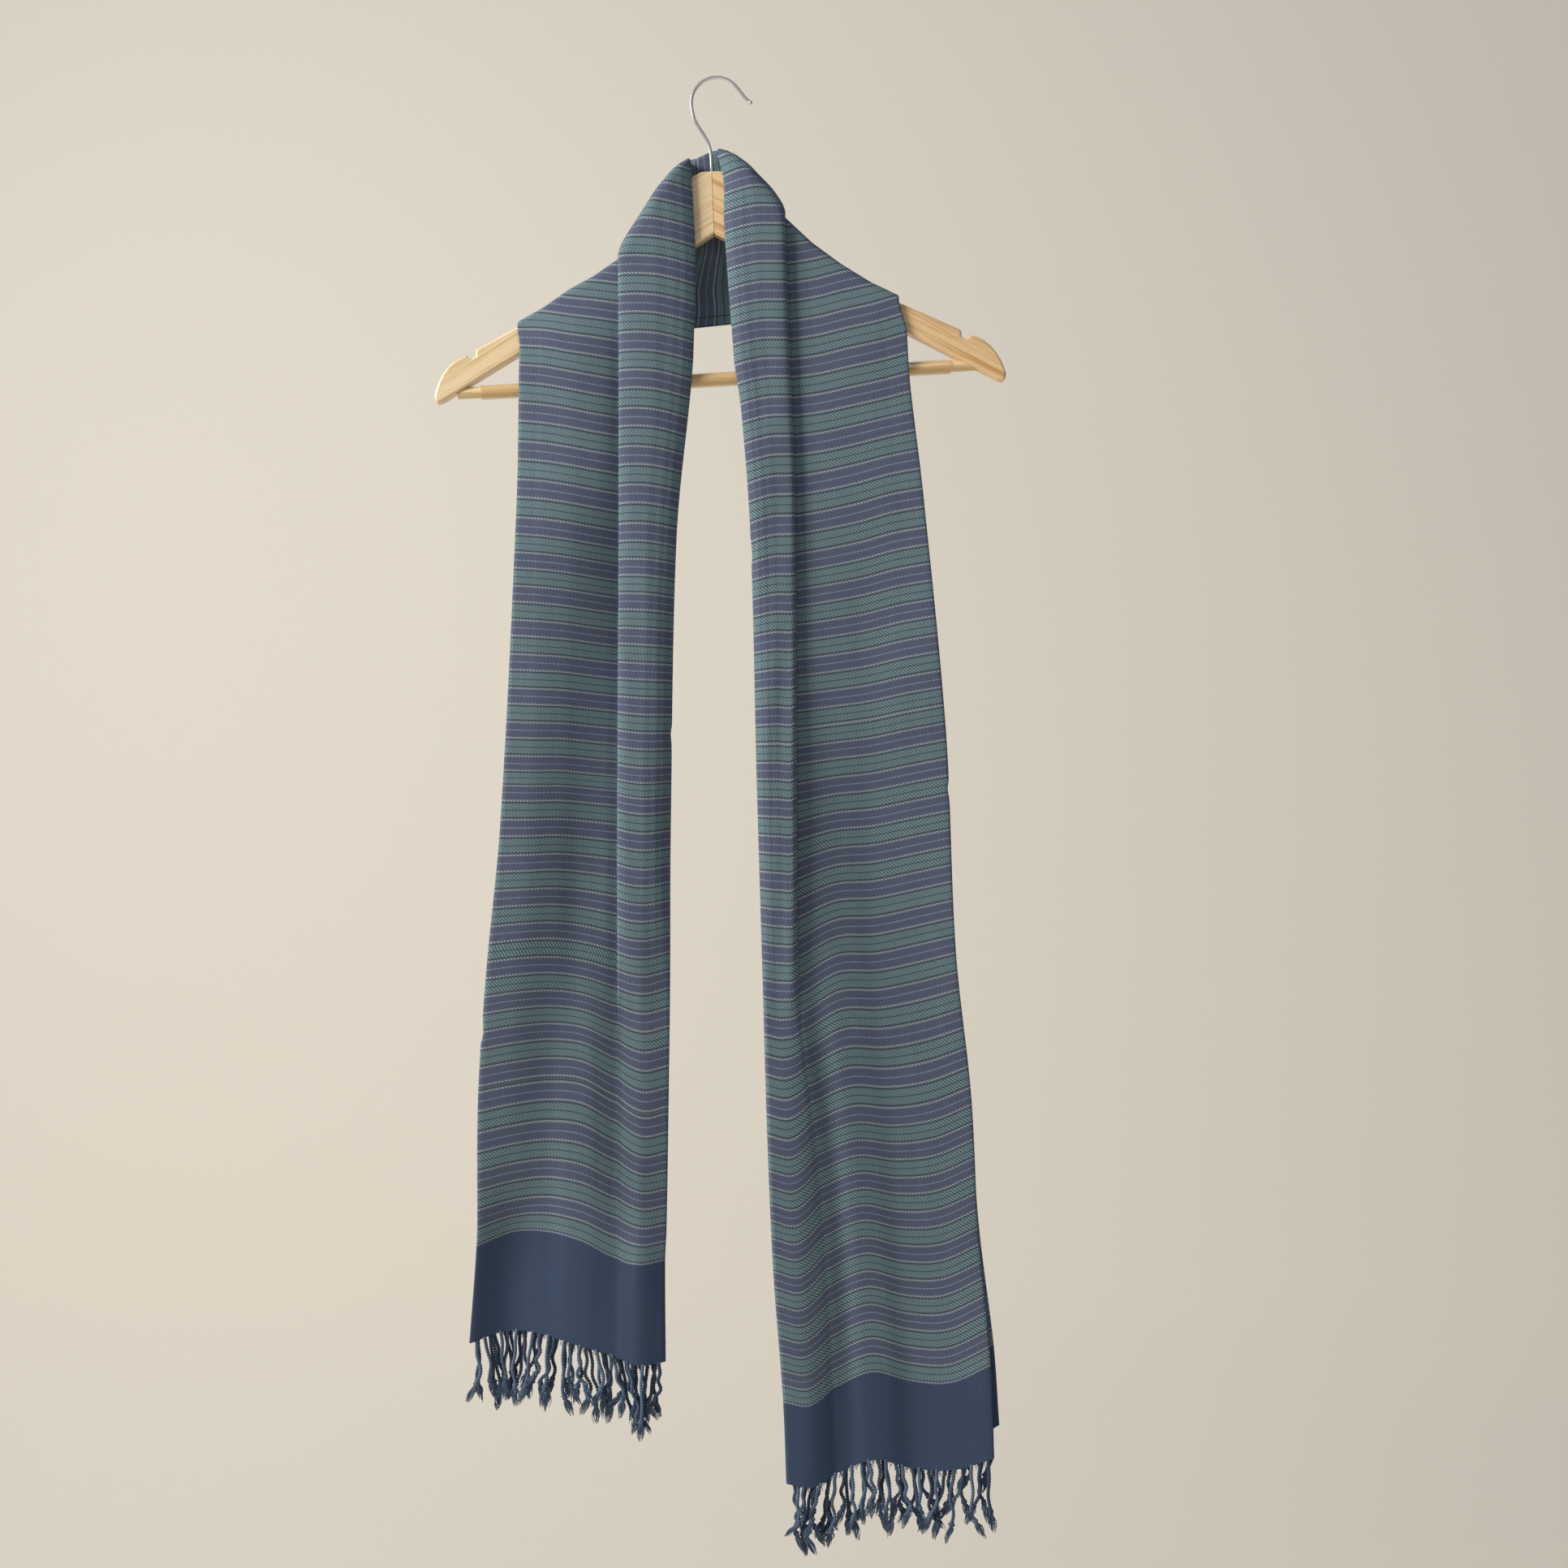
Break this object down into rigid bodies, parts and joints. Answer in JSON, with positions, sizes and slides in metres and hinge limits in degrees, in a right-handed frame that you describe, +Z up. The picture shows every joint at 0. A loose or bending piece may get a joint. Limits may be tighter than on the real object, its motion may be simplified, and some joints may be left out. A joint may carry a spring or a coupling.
{
  "type": "stole on a hanger",
  "caption": "Handwoven striped stole with twisted fringes, folded lengthwise and hung like a collar over a wooden coat hanger with a steel hook and a trouser bar.",
  "frame": {"origin": "inner top of the hook's curl, where a rail or a nail carries the hanger and the stole", "axes": "+Z up, +X to the viewer's right, -Y towards the viewer, who looks at the side where both ends hang"},
  "size_m": [0.4452, 0.0378, 1.1508],
  "materials": {
    "woven_cloth": "matt handwoven twill, blue-grey and teal-green weft stripes edged with white, navy end bands",
    "fringe_yarn": "matt twisted navy yarn with fluffy tips",
    "pale_wood": "clear satin lacquer",
    "warm_wood": "clear satin lacquer",
    "clear_sleeve": "clear glossy non-slip sleeve",
    "hook_wire": "polished"
  },
  "bodies": {
    "root": {"stole_left_fall": "woven_cloth", "stole_neck": "woven_cloth", "stole_right_fall": "woven_cloth", "fringe_left": "fringe_yarn", "fringe_right": "fringe_yarn", "hanger_arm_left": "pale_wood", "hanger_arm_right": "warm_wood", "hanger_bar": "warm_wood", "bar_sleeve": "clear_sleeve", "hook": "hook_wire"}
  },
  "joints": []
}
